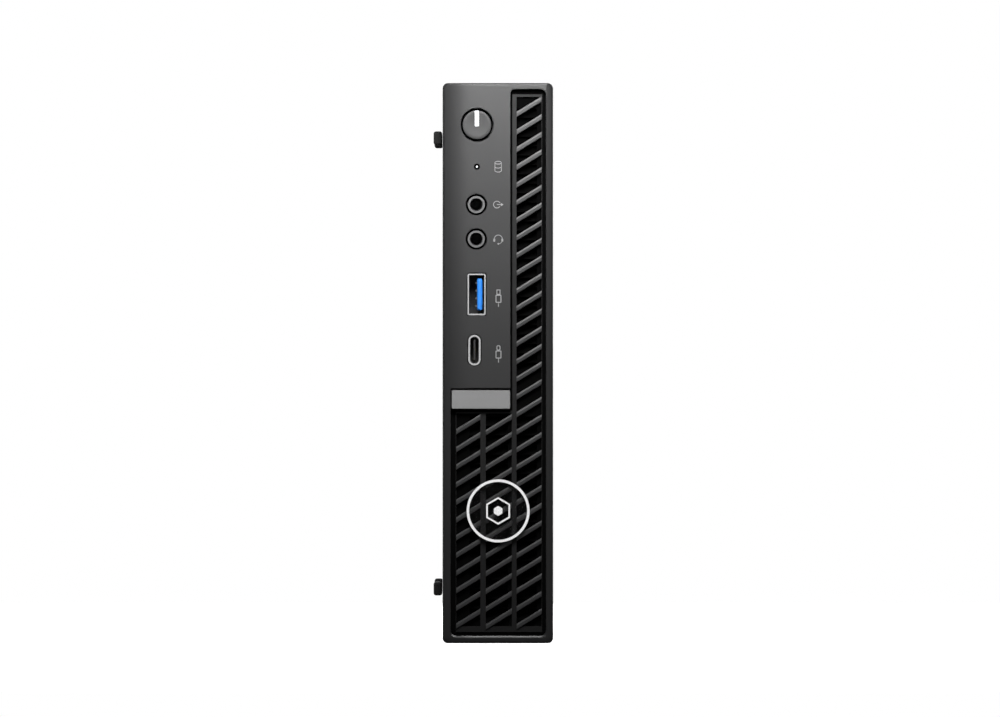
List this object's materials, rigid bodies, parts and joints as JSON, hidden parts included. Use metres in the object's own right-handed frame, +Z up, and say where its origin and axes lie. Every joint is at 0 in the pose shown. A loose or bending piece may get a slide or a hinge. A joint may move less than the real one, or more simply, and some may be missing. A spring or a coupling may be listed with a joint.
{
  "type": "mini pc",
  "caption": "Slim upright desktop computer with front grille, ports and power button, a sliding side cover, and board, blower, drive and rear ports inside",
  "frame": {"origin": "centre of the end face that it stands on, on the tray's lower end wall", "axes": "+X from the tray's base to the cover, through the thickness; +Y from the front to the back; +Z up along the height as it stands on end"},
  "size_m": [0.0389, 0.1862, 0.182],
  "materials": {
    "bezel_plastic": "satin dark grey, fine texture",
    "grille_plastic": "satin black",
    "silver_trim": "satin silver",
    "smoked_clear": "clear gloss",
    "light_pipe": "white, lit",
    "port_metal": "bright stamped steel",
    "port_plastic": "matte black",
    "blue_plastic": "blue, satin",
    "case_steel": "black powder coat",
    "rubber": "matte black",
    "circuit_board": "green solder mask",
    "component_black": "matte black",
    "aluminium": "extruded",
    "steel": "plated"
  },
  "bodies": {
    "chassis": {"activity_light_pipe": "light_pipe", "aerial_lead": "component_black", "blower_housing": "component_black", "chassis_tray": "case_steel", "coin_cell": "steel", "coin_cell_holder": "component_black", "cpu_socket": "component_black", "display_port_lower": "port_metal", "display_port_upper": "port_metal", "drive_bracket": "steel", "drive_connector": "component_black", "fan_lead": "component_black", "foot_front_lower": "rubber", "foot_front_upper": "rubber", "foot_rear_lower": "rubber", "foot_rear_upper": "rubber", "front_bezel": "bezel_plastic", "front_usb_a_shell": "port_metal", "front_usb_a_tongue": "blue_plastic", "front_usb_c_shell": "port_metal", "front_usb_c_tongue": "port_plastic", "grille_insert": "grille_plastic", "headset_jack": "port_metal", "heat_sink": "aluminium", "heat_sink_screw_1": "steel", "heat_sink_screw_2": "steel", "heat_sink_screw_3": "steel", "heat_sink_screw_4": "steel", "line_out_jack": "port_metal", "memory_module_lower": "circuit_board", "memory_module_upper": "circuit_board", "memory_socket_lower": "component_black", "memory_socket_upper": "component_black", "motherboard": "circuit_board", "name_plate": "silver_trim", "network_port": "port_metal", "power_inlet": "port_plastic", "power_switch": "component_black", "processor": "circuit_board", "rear_usb_stack_lower": "port_metal", "rear_usb_stack_upper": "port_metal", "solid_state_drive": "circuit_board", "solid_state_drive_connector": "component_black", "solid_state_drive_screw": "steel", "speaker": "component_black", "video_port": "port_metal", "wireless_card": "circuit_board", "wireless_card_connector": "component_black"},
    "power_button": {"power_button": "bezel_plastic", "power_light_pipe": "light_pipe"},
    "badge": {"badge_disc": "smoked_clear", "badge_ring": "silver_trim", "badge_emblem": "silver_trim"},
    "side_cover": {"side_cover": "case_steel"},
    "thumbscrew_washer": {"thumbscrew_washer": "steel"},
    "thumbscrew": {"thumbscrew": "steel"},
    "fan_rotor": {"fan_rotor": "component_black"},
    "drive_caddy": {"drive_caddy": "component_black", "data_drive": "aluminium"}
  },
  "joints": [
    {"name": "power_button_press", "type": "slide", "parent": "chassis", "child": "power_button", "axis": [0, 1, 0], "range_m": [0, 0.0008], "stiffness_N_per_m": 1500},
    {"name": "badge_turn", "type": "hinge", "parent": "chassis", "child": "badge", "pos_m": [0.0001, -0.088, 0.043], "axis": [0, 1, 0], "range_deg": [0, 90]},
    {"name": "side_cover_slide", "type": "slide", "parent": "chassis", "child": "side_cover", "axis": [0, 1, 0], "range_m": [0, 0.01]},
    {"name": "thumbscrew_advance", "type": "slide", "parent": "side_cover", "child": "thumbscrew_washer", "axis": [0, 1, 0], "range_m": [0, 0.00396]},
    {"name": "thumbscrew_turn", "type": "hinge", "parent": "thumbscrew_washer", "child": "thumbscrew", "pos_m": [0.0115, 0.092, 0.164], "axis": [0, 1, 0], "range_deg": [0, 1800]},
    {"name": "fan_spin", "type": "hinge", "parent": "chassis", "child": "fan_rotor", "pos_m": [-0.0074, -0.045, 0.045], "axis": [1, 0, 0], "continuous": true},
    {"name": "drive_caddy_slide", "type": "slide", "parent": "chassis", "child": "drive_caddy", "axis": [0, -1, 0], "range_m": [0, 0.007]}
  ],
  "couplings": [
    {"joint": "thumbscrew_turn", "follows": "thumbscrew_advance", "rad_per_m": 7915.8}
  ]
}
